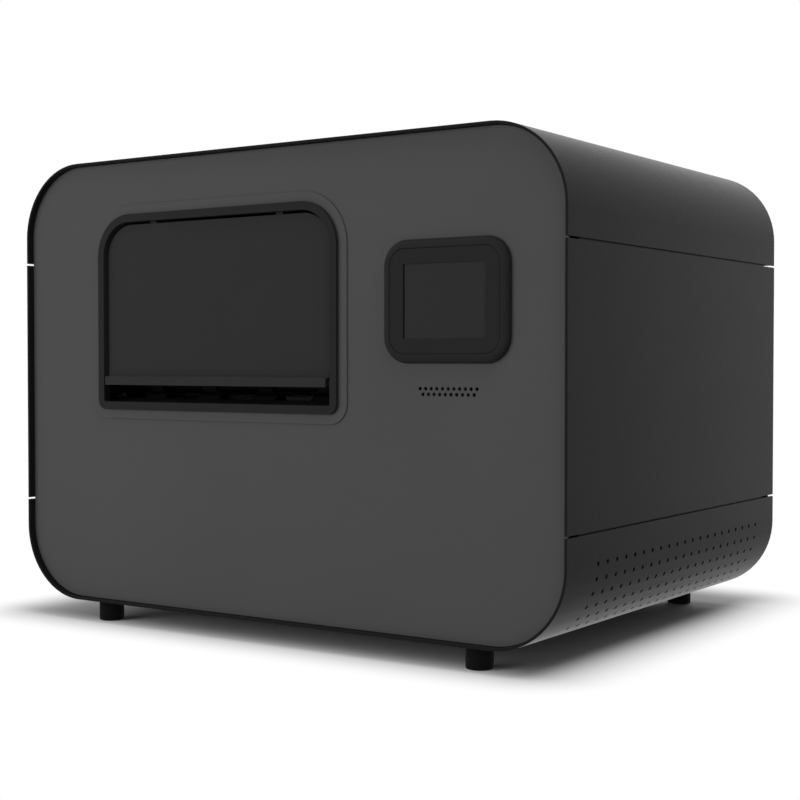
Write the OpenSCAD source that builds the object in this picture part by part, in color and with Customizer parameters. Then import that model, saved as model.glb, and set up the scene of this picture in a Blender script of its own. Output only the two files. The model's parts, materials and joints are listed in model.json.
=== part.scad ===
/* [Body] */
// Width of the casing
body_w = 760; // [720:1:820]
// Depth of the casing, from front lip to rear lip
body_d = 565; // [560:1:620]
// Height of the casing without its feet
body_h = 532; // [525:1:570]
// Radius of the four long corners of the casing
corner_r = 88; // [70:1:95]
// Thickness of the casing sheet
shell_t = 3; // [2:0.5:4]
// Height of the lower seam above the bottom of the casing
seam_low = 120; // [105:1:135]
// Height of the upper seam above the bottom of the casing
seam_high = 412.5; // [406:0.5:425]
// Width of the open seams
seam_gap = 2.2; // [1.5:0.1:3]
// How far the front and rear panels stand back behind the lips
panel_inset = 8; // [8:0.5:12]
// Thickness of the front and rear panels
panel_t = 3; // [2:0.5:3.5]
// Gap between a panel and the casing round it
panel_gap = 0.5; // [0.3:0.1:0.8]

/* [Feet] */
// Diameter of a rubber foot
foot_d = 30; // [24:1:36]
// Height of a rubber foot
foot_h = 25.5; // [18:0.5:32]
// Distance of the feet from the sides of the casing
foot_in_x = 116; // [105:1:135]
// Distance of the feet from the front and rear lips
foot_in_y = 29; // [27:1:45]
// Diameter of a foot screw
foot_screw_d = 6; // [4:0.5:8]

/* [Vents] */
// Number of vent columns along each lower corner
vent_cols = 21; // [10:1:23]
// Number of vent rows round each lower corner
vent_rows = 6; // [2:1:6]
// Diameter of a vent hole
vent_d = 5; // [3:0.5:7]
// Spacing of the vent columns
vent_pitch = 21.8; // [15:0.1:22.5]
// Spacing of the vent rows along the curve
vent_row_pitch = 16; // [10:0.5:18]

/* [Window] */
// Width of the clear opening
win_w = 339; // [325:1:345]
// Height of the clear opening
win_h = 213.8; // [200:0.2:216]
// Sideways place of the opening's centre
win_x = -79.3; // [-84:0.1:-70]
// Height of the opening's lower edge above the bottom of the casing
win_low = 243.5; // [241:0.5:250]
// Width of the frame's face round the opening
win_rim = 9.2; // [8:0.1:12]
// How far the frame stands proud of the panel's raised field
win_proud = 4; // [3:0.5:4]
// Margin of the raised field round the frame
field_margin = 11.1; // [6:0.1:14]
// How far the raised field stands proud of the panel
field_proud = 1.6; // [1:0.1:2]
// Height of the paper slot under the flap
slot_h = 20; // [16:0.5:24]
// Thickness of the flap
flap_t = 3; // [2:0.5:4]
// Gap round the flap
flap_gap = 1.8; // [1:0.1:2.5]
// Gap over the flap
flap_top_gap = 3; // [2:0.1:4]
// Distance of the flap's lugs from the window's middle
flap_lug_x = 95; // [60:1:117]
// Shadow gap behind the frame and the pod
shadow_gap = 0.9; // [0.5:0.1:1.2]
// Height of the ledge's front strip
ledge_h = 10.3; // [8:0.1:14]
// Thickness of the ledge's sheet
ledge_t = 2.4; // [1.5:0.1:3]
// How far the flap's front face lies behind the front lips
flap_back = 8.5; // [8:0.1:13]
// Diameter of a flap pin
flap_pin_d = 3; // [2:0.5:3]

/* [Control pod] */
// Width of the pod
pod_w = 153; // [140:1:165]
// Height of the pod
pod_h = 129; // [115:1:140]
// Sideways place of the pod's centre
pod_x = 237; // [230:1:245]
// Height of the pod's centre above the bottom of the casing
pod_z = 354; // [335:1:362]
// Corner radius of the pod
pod_r = 28; // [20:1:34]
// Width of the pod's rounded shoulder
pod_shoulder = 9.5; // [6:0.5:12]
// Width of the display opening
display_w = 99; // [80:1:104]
// Height of the display opening
display_h = 77; // [60:1:82]
// Thickness of the display glass
glass_t = 1.1; // [0.8:0.1:1.6]
// Diameter of a speaker hole
sound_d = 4; // [2:0.1:4.5]
// Spacing of the speaker holes
sound_pitch = 6.9; // [5:0.1:8]
// Number of holes in the upper speaker row
sound_n = 11; // [5:1:12]
// Diameter of the speaker
speaker_d = 50; // [40:1:56]

/* [Chassis] */
// Sideways place of the middle between the side frames
bay_x = -80; // [-84:1:-70]
// Clear width between the side frames
bay_w = 390; // [384:1:400]
// Thickness of the side frames
frame_t = 4; // [3:0.5:5]
// Width of the folded flanges of the side frames
flange_w = 20; // [14:1:24]
// Thickness of the base plate
base_t = 3; // [2:0.5:4]
// Diameter of the tie bars
tie_d = 12; // [8:1:16]
// Thickness of the foam under the cover
foam_t = 12; // [6:1:20]

/* [Embossing carriage] */
// Width of the carriage
car_w = 70; // [60:1:80]
// Depth of the carriage
car_l = 104; // [98:1:110]
// Gap between the parked carriage and the left side frame
car_end = 10; // [6:1:20]
// Height of the die bar under the paper
die_h = 34; // [28:1:40]
// Diameter of the guide rods
rod_d = 16; // [12:1:18]
// Spacing of the guide rods
rod_pitch = 70; // [64:1:74]
// Height of the guide rods above the paper
rod_up = 82; // [78:1:90]
// Outer diameter of the bushes
bush_d = 22; // [20:1:24]
// Number of embossing pins
pin_count = 6; // [3:1:6]
// Diameter of an embossing pin
pin_d = 3; // [2:0.5:3]
// Pitch radius of the carriage belt pulleys
car_pulley_r = 12.7; // [11:0.1:14]
// Width of the belts
belt_w = 10; // [8:1:10]
// Thickness of the belts
belt_t = 1.4; // [1:0.1:1.6]

/* [Paper feed] */
// Side of the square feed shaft
feed_sq = 10; // [8:1:12]
// Diameter of the tractor guide shaft
guide_d = 12; // [10:1:14]
// Width of a tractor
tractor_w = 24; // [22:1:30]
// Spacing of the pins on a tractor belt
pin_pitch = 12.7; // [12.7:0.1:13]
// Number of pin spacings between the tractor's two ends
pin_steps = 4; // [3:1:4]
// Radius of a tractor sprocket
sprocket_r = 17.5; // [16:0.1:19]
// Teeth of the feed gear
gear_n = 40; // [36:1:44]
// Teeth of the motor pinion
pinion_n = 16; // [16:1:18]
// Module of the gears
gear_m = 1.5; // [1.4:0.1:1.6]
// Radius of the exit rollers
roller_r = 12.5; // [11:0.1:14]
// Radius of the pinch rollers
pinch_r = 8; // [7:0.1:10]
// Size of a stepper motor's square body
motor_a = 56; // [50:1:60]
// Length of a stepper motor's body
motor_l = 75; // [50:1:80]

/* [Rear] */
// Height of the paper inlet slot
inlet_h = 30; // [20:1:36]
// Size of the square fan housing
fan_a = 120; // [92:1:122]
// Depth of the fan housing
fan_t = 25; // [20:1:32]

/* [Fits] */
// Radial clearance of a running fit
fit = 0.04; // [0.02:0.01:0.08]
// Gap between a part and its seat
seat = 0.3; // [0.2:0.05:0.4]

/* [Hidden] */
$fn = 48;
cut = 1;

// Planes of the casing
front_y = -body_d / 2;
rear_y = body_d / 2;
side_x = body_w / 2;
floor_z = foot_h + shell_t;
top_z = foot_h + body_h;
mid_z = foot_h + body_h / 2;
low_z = foot_h + seam_low;
high_z = foot_h + seam_high;
panel_front = front_y + panel_inset;
panel_back = panel_front + panel_t;
rear_in = -panel_back;
rear_out = -panel_front;
in_w = body_w - 2 * shell_t;
in_h = body_h - 2 * shell_t;
in_r = corner_r - shell_t;

// Places of the front window
win_cz = foot_h + win_low + win_h / 2;
win_bot = foot_h + win_low;
win_top = win_bot + win_h;
win_r_top = 40;
win_r_bot = 2.5;
rim_front = panel_front - field_proud - win_proud;
field_front = panel_front - field_proud;
spigot_t = 5.7;
flap_front = front_y + flap_back;
flap_z0 = win_bot + slot_h;
flap_top = win_top - flap_top_gap;
flap_w = win_w - 2 * flap_gap;
flap_ay = rim_front + 4;
flap_az = win_top + 3;
flap_lug_r = flap_pin_d / 2 + 0.9;
flap_lug_w = 10;

// Places of the paper path
paper_z = win_bot + slot_h / 2;
bay_l = bay_x - bay_w / 2;
bay_r = bay_x + bay_w / 2;
frame_top = paper_z + rod_up + 76;
feed_y = 60;
feed_z = paper_z - sprocket_r - belt_t - 3;
guide_y = feed_y + pin_pitch * pin_steps;
exit_y = -225;
exit_z = paper_z - seat - roller_r;
pinch_z = paper_z + seat + pinch_r;
exit_shaft_d = feed_sq;
pinch_shaft_d = 6;

// Places of the carriage
line_y = -110;
rod_y = [line_y - rod_pitch / 2, line_y + rod_pitch / 2];
rod_z = paper_z + rod_up;
car_x = bay_l + car_w / 2 + car_end;
car_h = 36;
belt_z = rod_z + car_h / 2 + 22;
car_pulley_l = bay_l - frame_t - motor_a / 2 - 6;
car_pulley_rx = bay_r + frame_t + 22;
idler_y0 = line_y + belt_w / 2 + 3;

// Drive outside the right side frame
outer_x = bay_r + frame_t;
pulley_x = outer_x + 3;
gear_x = pulley_x + belt_w + 4;
gear_t = 10;
motor_x = gear_x + gear_t + 6;
pinion_z = feed_z - gear_m * (gear_n + pinion_n) / 2;
feed_pulley_r = 20;
exit_pulley_r = feed_pulley_r * roller_r / 20;
bearing_d = 26;
bearing_t = 8;

// Control pod
pod_front = front_y;
pod_cz = foot_h + pod_z;
pod_back = panel_front - shadow_gap;
pod_edge = pod_back - pod_front;
sound_z = pod_cz - pod_h / 2 - 26.1;

// Cover hinge
hinge_r = 4;
hinge_y = rear_out + hinge_r;
hinge_z = high_z + 8;
hinge_x = side_x - 130;
hinge_pin_d = 4;
hinge_fixed_w = 16;
hinge_mid_w = 30;
leaf_t = 2;

// Electronics
port_z = floor_z + 46;
port_x = outer_x + flange_w + 11;
inlet_x = port_x + 85;
plate_t = 1.5;
plate_in = rear_out + 0.1;
plate_out = plate_in + plate_t;
rocker_y = plate_out - 3;
board_x = outer_x + flange_w + 6;
board_y = front_y + 32.5;
psu_y = board_y + 210;
fan_x = 240;
fan_z = 190;
fan_y0 = rear_in - fan_t;
fan_bore = fan_a - 6;
inlet_z0 = paper_z - inlet_h / 2;
inlet_w = win_w;

// Rounded rectangle whose upper and lower corners have their own radii
module rrect(w, h, rt, rb) {
    translate([-w / 2, -h / 2 + rb]) square([w, h - rt - rb]);
    translate([-w / 2 + rt, h / 2 - rt]) square([w - 2 * rt, rt]);
    translate([-w / 2 + rb, -h / 2]) square([w - 2 * rb, rb]);
    for (s = [-1, 1]) {
        translate([s * (w / 2 - rt), h / 2 - rt]) circle(rt);
        translate([s * (w / 2 - rb), -h / 2 + rb]) circle(rb);
    }
}

// Outline in X and Z, thick from y0 to y1
module along_y(y0, y1) {
    translate([0, y1, 0]) rotate([90, 0, 0]) linear_extrude(y1 - y0) children();
}

// Outline in Y and Z, thick from x0 to x1
module along_x(x0, x1) {
    translate([x0, 0, 0]) rotate([90, 0, 90]) linear_extrude(x1 - x0) children();
}

// Round bars along the three axes
module rod_x(d, x0, x1, y, z) {
    translate([x0, y, z]) rotate([0, 90, 0]) cylinder(d = d, h = x1 - x0);
}
module rod_y(d, x, y0, y1, z) {
    translate([x, y1, z]) rotate([90, 0, 0]) cylinder(d = d, h = y1 - y0);
}
module rod_z(d, x, y, z0, z1) {
    translate([x, y, z0]) cylinder(d = d, h = z1 - z0);
}

// Box between two corners
module block(a, b) {
    translate(a) cube(b - a);
}

// Flat plates with their lowest corner named
module shell_outline() {
    translate([0, mid_z]) rrect(body_w, body_h, corner_r, corner_r);
}
module inner_outline(g) {
    translate([0, mid_z]) rrect(in_w - 2 * g, in_h - 2 * g, in_r - g, in_r - g);
}
module wall_ring() {
    difference() {
        shell_outline();
        inner_outline(0);
    }
}
module slice(z0, z1) {
    translate([-body_w, z0]) square([2 * body_w, z1 - z0]);
}

// Casing
module lower_tray() {
    color("#303132") difference() {
        along_y(front_y, rear_y) intersection() {
            wall_ring();
            slice(foot_h - cut, low_z - seam_gap / 2);
        }
        vents();
        for (p = foot_places()) {
            rod_z(foot_screw_d + 0.6, p[0], p[1], foot_h - cut, floor_z + cut);
        }
    }
}

// Vent holes square to the curve of both lower corners
module vents() {
    for (s = [-1, 1]) {
        for (row = [0 : vent_rows - 1]) {
            turn = 90 + (0.6 + row * vent_row_pitch) / corner_r * 180 / PI;
            for (col = [0 : vent_cols - 1]) {
                y = (col - (vent_cols - 1) / 2) * vent_pitch + 3;
                translate([s * (side_x - corner_r), y, foot_h + corner_r])
                    rotate([0, s * turn, 0])
                        translate([0, 0, in_r - 3]) cylinder(d = vent_d, h = shell_t + 6, $fn = 24);
            }
        }
    }
}

// One side panel with a joggled flange behind each seam
module side_panel(s) {
    z0 = low_z + seam_gap / 2;
    z1 = high_z - seam_gap / 2;
    lap = 9;
    xo = side_x;
    xi = side_x - shell_t;
    xf = xi - seat;
    xk = xf - shell_t;
    mirror([s < 0 ? 1 : 0, 0, 0]) color("#2f3031") union() {
        block([xi, front_y, z0], [xo, rear_y, z1]);
        for (z = [z0, z1 - shell_t]) {
            block([xk, -panel_lap(), z], [xi + cut, panel_lap(), z + shell_t]);
        }
        block([xk, -panel_lap(), z1 - shell_t], [xf, panel_lap(), z1 + lap]);
        block([xk, -panel_lap(), z0 - lap], [xf, panel_lap(), z0 + shell_t]);
    }
}
function panel_lap() = rear_in - return_d - 4;
module left_side_panel() {
    side_panel(-1);
}
module right_side_panel() {
    side_panel(1);
}

// Hinged cover with both upper corners
module top_cover() {
    color("#303132") along_y(front_y, rear_y) intersection() {
        wall_ring();
        slice(high_z + seam_gap / 2, top_z + cut);
    }
}
module cover_rear_panel() {
    color("#3c3d3e") along_y(rear_in, rear_out) intersection() {
        inner_outline(seat);
        slice(high_z + seam_gap / 2, top_z);
    }
}
module acoustic_foam() {
    x1 = side_x - corner_r - 42;
    y1 = rear_in - 41.5;
    z1 = top_z - shell_t - seat;
    color("#26272b") block([-x1, -y1, z1 - foam_t], [x1, y1, z1]);
}

// Front panel with its raised field, window, pod cut-out and sound holes
return_d = 14;
module front_panel() {
    color("#4b4c4d") difference() {
        union() {
            along_y(panel_front, panel_back) inner_outline(panel_gap);
            along_y(field_front, panel_front + cut) field_outline(0);
            panel_returns(panel_back - cut, panel_back + return_d, high_z);
        }
        along_y(panel_back - field_proud, panel_back + cut) field_outline(panel_t);
        along_y(front_y, panel_back + cut) window_outline(spigot_t + seat);
        along_y(front_y, panel_back + cut) translate([pod_x, foot_h + pod_z])
            rrect(pod_w - 40, pod_h - 40, 8, 8);
        sound_holes();
    }
}
module field_outline(inset) {
    grow = win_rim + field_margin - inset;
    translate([win_x, win_cz])
        rrect(win_w + 2 * grow, win_h + 2 * grow, win_r_top + grow, win_r_bot + grow);
}
module window_outline(grow) {
    translate([win_x, win_cz])
        rrect(win_w + 2 * grow, win_h + 2 * grow, win_r_top + grow, win_r_bot + grow);
}
module sound_holes() {
    for (row = [0, 1]) {
        n = sound_n - row;
        for (i = [0 : n - 1]) {
            x = pod_x + 1.2 + (i - (n - 1) / 2) * sound_pitch;
            rod_y(sound_d, x, panel_front - cut, panel_back + cut, sound_z - row * sound_pitch * 0.86);
        }
    }
}

// Upright returns at both sides of a panel
module panel_returns(y0, y1, z1) {
    xo = side_x - shell_t - panel_gap;
    for (s = [0, 1]) {
        mirror([s, 0, 0]) block([xo - panel_t, y0, low_z + 14], [xo, y1, z1 - 14]);
    }
}

// Rear panel with the paper inlet, the fan grille and the sockets' cut-outs
module rear_panel() {
    color("#3c3d3e") difference() {
        union() {
            along_y(rear_in, rear_out) intersection() {
                inner_outline(panel_gap);
                slice(foot_h, high_z - seam_gap / 2);
            }
            panel_returns(rear_in - return_d, rear_in + cut, high_z);
        }
        block([bay_x - inlet_w / 2, rear_in - cut, inlet_z0],
            [bay_x + inlet_w / 2, rear_out + cut, inlet_z0 + inlet_h]);
        fan_grille();
        block([port_x - 10, rear_in - cut, port_z - 22], [inlet_x + 33, rear_out + cut, port_z + 22]);
    }
}
module fan_grille() {
    bars = 7;
    for (i = [-bars : bars]) {
        half = sqrt(pow(fan_bore / 2 - 3, 2) - pow(i * 7, 2));
        block([fan_x - half, rear_in - cut, fan_z + i * 7 - 1.75],
            [fan_x - 3, rear_out + cut, fan_z + i * 7 + 1.75]);
        block([fan_x + 3, rear_in - cut, fan_z + i * 7 - 1.75],
            [fan_x + half, rear_out + cut, fan_z + i * 7 + 1.75]);
    }
}

// Feet
function foot_places() = [
    for (sx = [-1, 1], sy = [-1, 1]) [sx * (side_x - foot_in_x), sy * (rear_y - foot_in_y)]
];
module rubber_feet() {
    color("#141414") for (p = foot_places()) {
        difference() {
            rod_z(foot_d, p[0], p[1], 0, foot_h);
            rod_z(foot_screw_d + 0.6, p[0], p[1], -cut, foot_h + cut);
            rod_z(foot_screw_d * 2 + 2, p[0], p[1], -cut, foot_h / 2);
        }
    }
}
module foot_screws() {
    color("silver") for (p = foot_places()) {
        rod_z(foot_screw_d * 2, p[0], p[1], foot_h / 2 - 4, foot_h / 2);
        rod_z(foot_screw_d, p[0], p[1], foot_h / 2 - cut, floor_z + base_t + 6);
        rod_z(foot_screw_d * 1.8, p[0], p[1], floor_z + base_t, floor_z + base_t + 5);
    }
}

// Base plate on the floor of the tray
base_x = side_x - corner_r - 4;
module base_plate() {
    color("silver") difference() {
        block([-base_x, rear_limit(-1), floor_z], [base_x, rear_limit(1), floor_z + base_t]);
        for (p = foot_places()) {
            rod_z(foot_screw_d + 0.6, p[0], p[1], floor_z - cut, floor_z + base_t + cut);
        }
    }
}
function rear_limit(s) = s * (rear_in - seat);

// Side frame with folded flanges against the base plate and both panels
module side_frame(x0, s) {
    z0 = floor_z + base_t;
    xa = s > 0 ? x0 : x0 - frame_t;
    xb = xa + frame_t;
    fa = s > 0 ? xa : xb - flange_w;
    fb = s > 0 ? xa + flange_w : xb;
    flange_end = rear_y - foot_in_y - foot_screw_d * 2 - 4;
    color("lightgray") difference() {
        union() {
            along_x(xa, xb) frame_outline(z0);
            block([fa, -flange_end, z0], [fb, flange_end, z0 + frame_t]);
            block([fa, panel_back, z0], [fb, panel_back + frame_t, win_bot - 16]);
            block([fa, rear_in - frame_t, z0], [fb, rear_in, inlet_z0 + inlet_h + 60]);
        }
        for (p = frame_bores()) {
            rod_x(p[2], xa - cut, xb + cut, p[0], p[1]);
        }
        belt_window(xa - cut, xb + cut);
    }
}
module frame_outline(z0) {
    polygon([
        [panel_back, z0], [rear_in, z0], [rear_in, inlet_z0 + inlet_h + 60],
        [guide_y + 60, paper_z + 60], [line_y + 70, frame_top], [line_y - 70, frame_top],
        [exit_y - 24, paper_z + 60], [exit_y - 24, win_bot - 16], [panel_back, win_bot - 16]
    ]);
}
// Each bore's place in Y and Z and its diameter
function frame_bores() = [
    [feed_y, feed_z, bearing_d], [exit_y, exit_z, bearing_d], [exit_y, pinch_z, pinch_shaft_d + 2 * fit],
    [guide_y, feed_z, guide_d], [rod_y[0], rod_z, rod_d], [rod_y[1], rod_z, rod_d]
];
module belt_window(x0, x1) {
    h = car_pulley_r + 8;
    block([x0, line_y - belt_w / 2 - 6, belt_z - h], [x1, line_y + belt_w / 2 + 6, belt_z + h]);
}
module left_frame() {
    side_frame(bay_l, -1);
}
module right_frame() {
    side_frame(bay_r, 1);
}
function tie_places() = [
    [front_y + 82.5, floor_z + 31.5], [rear_y - 82.5, floor_z + 31.5], [rear_y - 67.5, inlet_z0 - 49]
];
module tie_bars() {
    color("silver") for (p = tie_places()) {
        rod_x(tie_d, bay_l, bay_r, p[0], p[1]);
    }
}

// Window frame with the flap's pin bores in its spigot
module window_frame() {
    color("#2e2f30") difference() {
        union() {
            along_y(rim_front, field_front - shadow_gap) window_outline(win_rim);
            along_y(rim_front + cut, field_front) window_outline(win_rim - 1.6);
            along_y(field_front - cut, panel_back + 2) window_outline(spigot_t);
        }
        along_y(rim_front - cut, panel_back + 2 + cut) window_outline(0);
        for (s = [-1, 1]) {
            x = win_x + s * flap_lug_x;
            rod_x(flap_pin_d, x - 14, x + 14, flap_ay, flap_az);
            block([x - flap_lug_w / 2 - 0.5, flap_ay - flap_lug_r - 0.3, win_top - cut],
                  [x + flap_lug_w / 2 + 0.5, panel_back + 2 + cut, win_top + spigot_t + cut]);
        }
    }
}
module flap_pins() {
    color("silver") for (s = [-1, 1]) {
        x = win_x + s * flap_lug_x;
        rod_x(flap_pin_d, x - 14, x + 14, flap_ay, flap_az);
    }
}

// Flap whose two lugs turn on the pins behind the frame's upper rim
module front_flap() {
    h = flap_top - flap_z0 - 2;
    r_top = win_r_top - flap_gap;
    color("#313233") difference() {
        union() {
            along_y(flap_front, flap_front + flap_t)
                translate([win_x, flap_top - h / 2]) rrect(flap_w, h, r_top, 3);
            for (s = [-1, 1]) {
                x = win_x + s * flap_lug_x;
                rod_x(2 * flap_lug_r, x - flap_lug_w / 2, x + flap_lug_w / 2, flap_ay, flap_az);
                along_x(x - flap_lug_w / 2, x + flap_lug_w / 2) lug_arm();
            }
        }
        for (s = [-1, 1]) {
            x = win_x + s * flap_lug_x;
            rod_x(flap_pin_d + 2 * fit, x - flap_lug_w, x + flap_lug_w, flap_ay, flap_az);
        }
    }
}
module lug_arm() {
    back = flap_front + flap_t;
    arm = flap_front + flap_t / 2;
    polygon([
        [flap_ay, flap_az + flap_lug_r], [back, flap_az + flap_lug_r - 1], [back, flap_top - 8],
        [arm, flap_top - 8], [arm, win_top + 0.4], [flap_ay, flap_az - flap_lug_r + 0.6]
    ]);
}
module flap_ledge() {
    z1 = flap_z0 + ledge_h;
    x0 = win_x - win_w / 2 + 4;
    x1 = win_x + win_w / 2 - 4;
    color("#38393a") {
        block([x0, front_y, flap_z0], [x1, front_y + ledge_t, z1]);
        along_x(x0, x1) polygon([
            [front_y + ledge_t + 2 * fit, z1 - ledge_t], [flap_front, z1 - ledge_t],
            [flap_front, z1 + 6], [flap_front - 1.2, z1 + 6], [flap_front - 1.2, z1],
            [front_y + ledge_t + 2 * fit, z1]
        ]);
    }
}

// Control pod
module pod_outline(inset) {
    r = max(2, pod_r - inset);
    translate([pod_x, pod_cz]) rrect(pod_w - 2 * inset, pod_h - 2 * inset, r, r);
}
module pod_housing() {
    face = 1.6;
    color("#2a2b2c") difference() {
        union() {
            along_y(pod_front, pod_back) pod_outline(pod_edge);
            along_y(pod_front + cut, panel_front) pod_outline(pod_edge - cut);
            pod_round();
            along_y(panel_front - cut, panel_back + 3) pod_plug(pod_w - 42, pod_h - 42);
        }
        along_y(pod_front - cut, pod_front + face + seat) pod_outline(pod_shoulder);
        along_y(pod_front, panel_back + 3 + cut) pod_plug(pod_w - 50, pod_h - 50);
    }
}
// Quarter-round edge of the pod along its sides and round its corners
module quarter() {
    intersection() {
        circle(pod_edge);
        square(pod_edge);
    }
}
module pod_round() {
    rx = pod_w / 2 - pod_r;
    rz = pod_h / 2 - pod_r;
    for (sz = [-1, 1]) {
        translate([pod_x - rx, pod_back, pod_cz + sz * (pod_h / 2 - pod_edge)])
            rotate([sz > 0 ? 90 : 180, 0, 0]) rotate([0, 90, 0]) rotate([0, 0, 90])
                linear_extrude(2 * rx) quarter();
    }
    for (sx = [-1, 1]) {
        translate([pod_x + sx * (pod_w / 2 - pod_edge), pod_back, pod_cz - rz])
            rotate([0, 0, sx > 0 ? -90 : 180]) linear_extrude(2 * rz) quarter();
    }
    for (sx = [-1, 1], sz = [-1, 1]) {
        translate([pod_x + sx * rx, pod_back, pod_cz + sz * rz]) rotate([90, 0, 0])
            rotate_extrude() translate([pod_r - pod_edge, 0]) quarter();
    }
}
module pod_plug(w, h) {
    translate([pod_x, pod_cz]) rrect(w, h, 6, 6);
}
module pod_face() {
    color("#2b2c2d") difference() {
        along_y(pod_front + 0.2, pod_front + 1.8) pod_outline(pod_shoulder + 0.4);
        along_y(pod_front - cut, pod_front + 2 + cut) translate([pod_x, pod_cz])
            square([display_w, display_h], center = true);
    }
}
module display_glass() {
    color("#2f3031") along_y(pod_front + 1.9, pod_front + 1.9 + glass_t) pod_plug(pod_w - 50.6, pod_h - 50.6);
}
module display_board() {
    y0 = pod_front + 1.9 + glass_t;
    color("darkgreen") union() {
        along_y(y0, panel_back + 6) pod_plug(pod_w - 54, pod_h - 54);
        along_y(panel_back + 5, panel_back + 7) pod_plug(pod_w - 30, pod_h - 30);
        for (sx = [-1, 1], sz = [-1, 1]) {
            x = pod_x + sx * (pod_w - 36) / 2;
            z = pod_cz + sz * (pod_h - 36) / 2;
            rod_y(6, x, panel_back, panel_back + 6, z);
        }
    }
}
module speaker() {
    z = sound_z - 3.4;
    color("#222222") union() {
        rod_y(speaker_d, pod_x, panel_back, panel_back + 4, z);
        rod_y(speaker_d - 8, pod_x, panel_back + 3, panel_back + 10, z);
        rod_y(speaker_d / 2, pod_x, panel_back + 9, panel_back + 18, z);
    }
}

// Cover hinge: fixed leaves with riveted pins, and moving leaves
module cover_hinge_base() {
    z0 = high_z - 26;
    color("#2b2c2d") for (s = [-1, 1]) {
        x = s * hinge_x;
        w = hinge_mid_w / 2 + hinge_fixed_w;
        block([x - w, rear_out, z0], [x + w, rear_out + leaf_t, high_z - seam_gap]);
        for (side = [-1, 1]) {
            a = x + side * hinge_mid_w / 2 + (side < 0 ? -hinge_fixed_w : 0);
            block([a, rear_out, high_z - seam_gap - cut], [a + hinge_fixed_w, rear_out + leaf_t, hinge_z]);
            rod_x(2 * hinge_r, a, a + hinge_fixed_w, hinge_y, hinge_z);
        }
        rod_x(hinge_pin_d, x - w, x + w, hinge_y, hinge_z);
    }
}
module cover_hinge_leaf() {
    color("#2b2c2d") for (s = [-1, 1]) {
        x = s * hinge_x;
        w = hinge_mid_w / 2 - seat;
        difference() {
            union() {
                block([x - w, rear_out, hinge_z], [x + w, rear_out + leaf_t, hinge_z + 12]);
                block([x - w - 14, rear_out, hinge_z + hinge_r + 1],
                    [x + w + 14, rear_out + leaf_t, hinge_z + 34]);
                rod_x(2 * hinge_r, x - w, x + w, hinge_y, hinge_z);
            }
            rod_x(hinge_pin_d + 2 * fit, x - w - cut, x + w + cut, hinge_y, hinge_z);
        }
    }
}

// Guide rods of the carriage and of the tractors
module guide_rods() {
    x0 = bay_l - frame_t;
    x1 = bay_r + frame_t;
    color("silver") union() {
        for (y = rod_y) {
            rod_x(rod_d, x0, x1, y, rod_z);
        }
        rod_x(guide_d, x0, x1, guide_y, feed_z);
    }
}

// Carriage, its bushes, the embossing head under it and the pins
module carriage() {
    x0 = car_x - car_w / 2;
    x1 = car_x + car_w / 2;
    z0 = rod_z - car_h / 2;
    z1 = rod_z + car_h / 2;
    run = belt_z - car_pulley_r - belt_t;
    color("darkgray") difference() {
        union() {
            block([x0, line_y - car_l / 2, z0], [x1, line_y + car_l / 2, z1]);
            block([car_x - 20, line_y - 12, z1 - cut], [car_x + 20, line_y + 12, run + belt_t + 5]);
        }
        for (y = rod_y) {
            rod_x(bush_d, x0 - cut, x1 + cut, y, rod_z);
        }
        block([car_x - 21, line_y - belt_w / 2 - seat, run - seat],
            [car_x + 21, line_y + 13, run + belt_t + seat]);
    }
}
module carriage_bushes() {
    color("goldenrod") for (y = rod_y, s = [0, 1]) {
        a = s == 0 ? car_x - car_w / 2 : car_x + car_w / 2 - 20;
        difference() {
            rod_x(bush_d, a, a + 20, y, rod_z);
            rod_x(rod_d + 2 * fit, a - cut, a + 20 + cut, y, rod_z);
        }
    }
}
function pin_x(i) = car_x + (i - (pin_count - 1) / 2) * 10;
module embossing_head() {
    z0 = paper_z + 8;
    z1 = rod_z - car_h / 2;
    color("gray") difference() {
        union() {
            block([car_x - 33, line_y - 17, z0], [car_x + 33, line_y + 17, z0 + 14]);
            for (i = [0 : pin_count - 1]) {
                rod_z(9, pin_x(i), line_y + (i % 2 == 0 ? -7 : 7), z0 + 13, z1 - 6);
            }
            block([car_x - 33, line_y - 17, z1 - 7], [car_x + 33, line_y + 17, z1]);
            for (s = [-1, 1]) {
                block([car_x + s * 31 - 2, line_y - 17, z0], [car_x + s * 31 + 2, line_y + 17, z1]);
            }
        }
        for (i = [0 : pin_count - 1]) {
            rod_z(pin_d + 2 * fit, pin_x(i), line_y + (i % 2 == 0 ? -7 : 7), z0 - cut, z0 + 22);
        }
    }
}
module punch_pins() {
    color("silver") for (i = [0 : pin_count - 1]) {
        rod_z(pin_d, pin_x(i), line_y + (i % 2 == 0 ? -7 : 7), paper_z + 2.5, paper_z + 24);
    }
}
module die_bar() {
    z1 = paper_z - 0.5;
    color("gray") difference() {
        block([bay_l, line_y - 18, z1 - die_h], [bay_r, line_y + 18, z1]);
        for (s = [-1, 1]) {
            block([bay_l + 16, line_y + s * 7 - 2.5, z1 - 2], [bay_r - 16, line_y + s * 7 + 2.5, z1 + cut]);
        }
    }
}

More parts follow.
